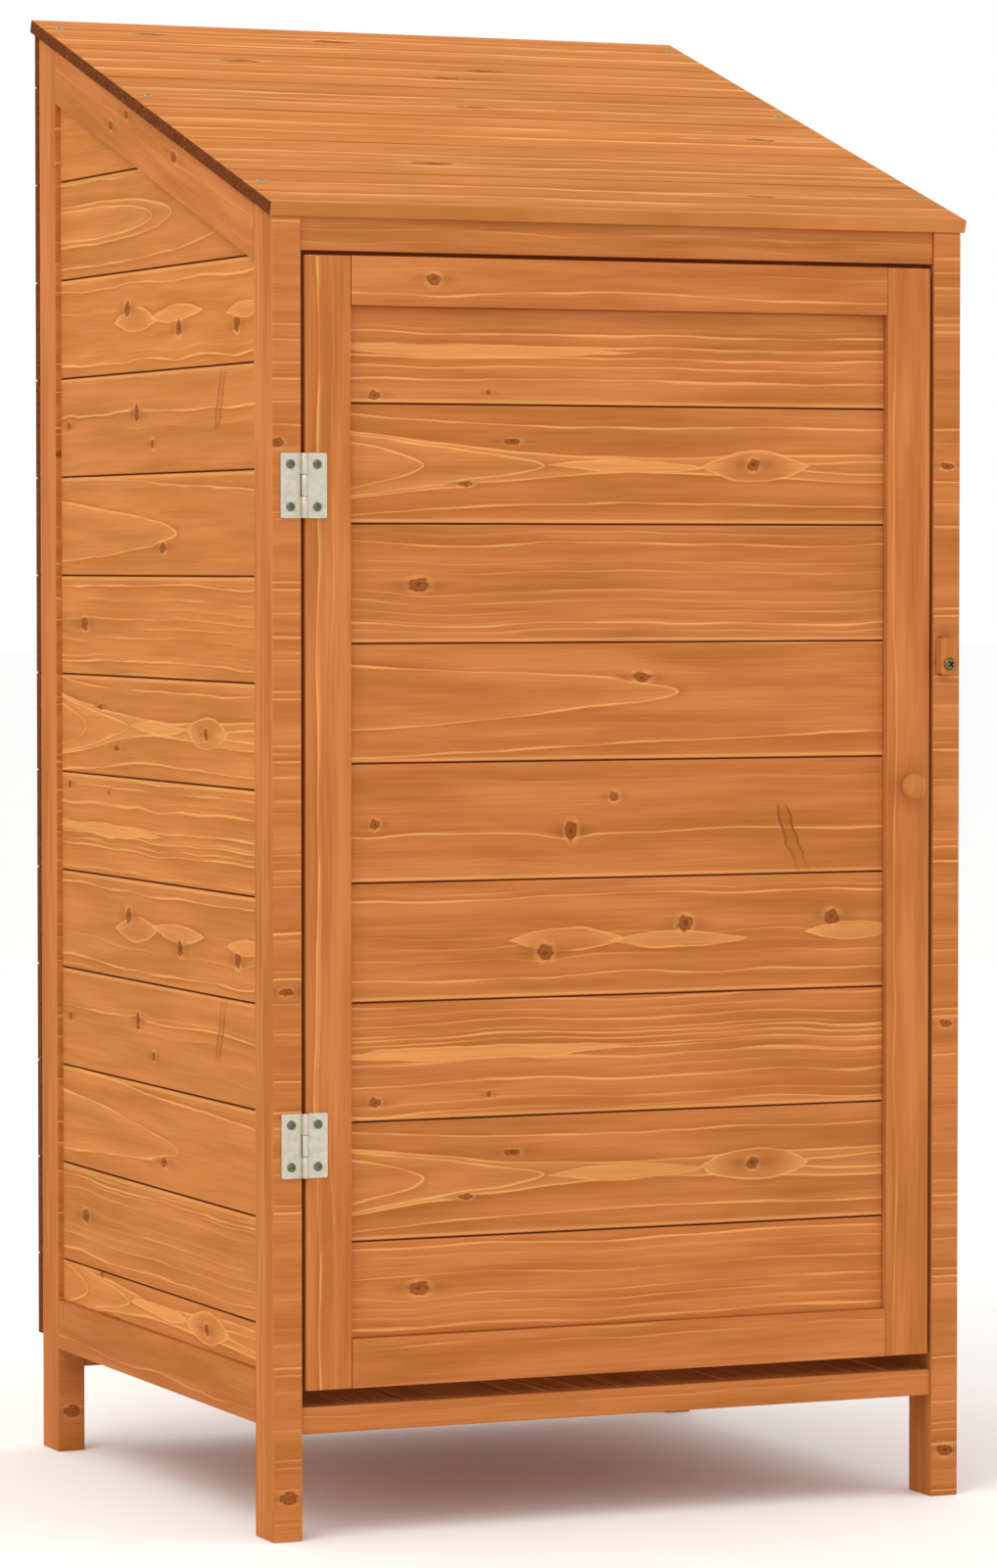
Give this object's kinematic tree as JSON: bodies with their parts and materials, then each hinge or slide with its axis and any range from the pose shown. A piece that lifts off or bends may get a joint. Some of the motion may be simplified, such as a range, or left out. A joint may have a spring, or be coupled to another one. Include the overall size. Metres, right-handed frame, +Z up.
{
  "type": "wooden garden shed",
  "caption": "Narrow lean-to garden shed of stained fir boards on corner posts, with a sloped boarded roof, a floor and a framed door on butt hinges, held shut by a turn button.",
  "frame": {"origin": "on the ground, under the middle of the whole object's box", "axes": "+Z up, +X to the right seen from the front, and the door faces -Y"},
  "size_m": [0.55, 0.5312, 1.116],
  "materials": {
    "frame_timber": "stained fir, planed",
    "board_timber": "stained fir boards, planed",
    "hinge_zinc": "zinc-plated pressed steel",
    "screw_brown": "browned screw head"
  },
  "bodies": {
    "shed": {"front_left_post": "frame_timber", "front_right_post": "frame_timber", "rear_left_post": "frame_timber", "rear_right_post": "frame_timber", "lintel": "frame_timber", "front_sill": "frame_timber", "rear_sill": "frame_timber", "left_bottom_rail": "frame_timber", "right_bottom_rail": "frame_timber", "left_rafter": "frame_timber", "right_rafter": "frame_timber", "left_wall_boards": "board_timber", "right_wall_boards": "board_timber", "back_wall_boards": "board_timber", "floor_boards": "board_timber", "roof_boards": "board_timber", "upper_hinge_post_leaf": "hinge_zinc", "upper_hinge_pin": "hinge_zinc", "lower_hinge_post_leaf": "hinge_zinc", "lower_hinge_pin": "hinge_zinc", "turn_button_screw": "screw_brown"},
    "door": {"door_hinge_stile": "frame_timber", "door_latch_stile": "frame_timber", "door_top_rail": "frame_timber", "door_bottom_rail": "frame_timber", "door_boards": "board_timber", "upper_hinge_door_leaf": "hinge_zinc", "lower_hinge_door_leaf": "hinge_zinc", "door_knob": "frame_timber"},
    "turn_button": {"turn_button": "frame_timber"}
  },
  "joints": [
    {"name": "door_swing", "type": "hinge", "parent": "shed", "child": "door", "pos_m": [-0.249, -0.25197, 0.514], "axis": [0, 0, -1], "range_deg": [0, 170]},
    {"name": "button_turn", "type": "hinge", "parent": "shed", "child": "turn_button", "pos_m": [0.2595, -0.25407, 0.618], "axis": [0, -1, 0], "continuous": true}
  ]
}
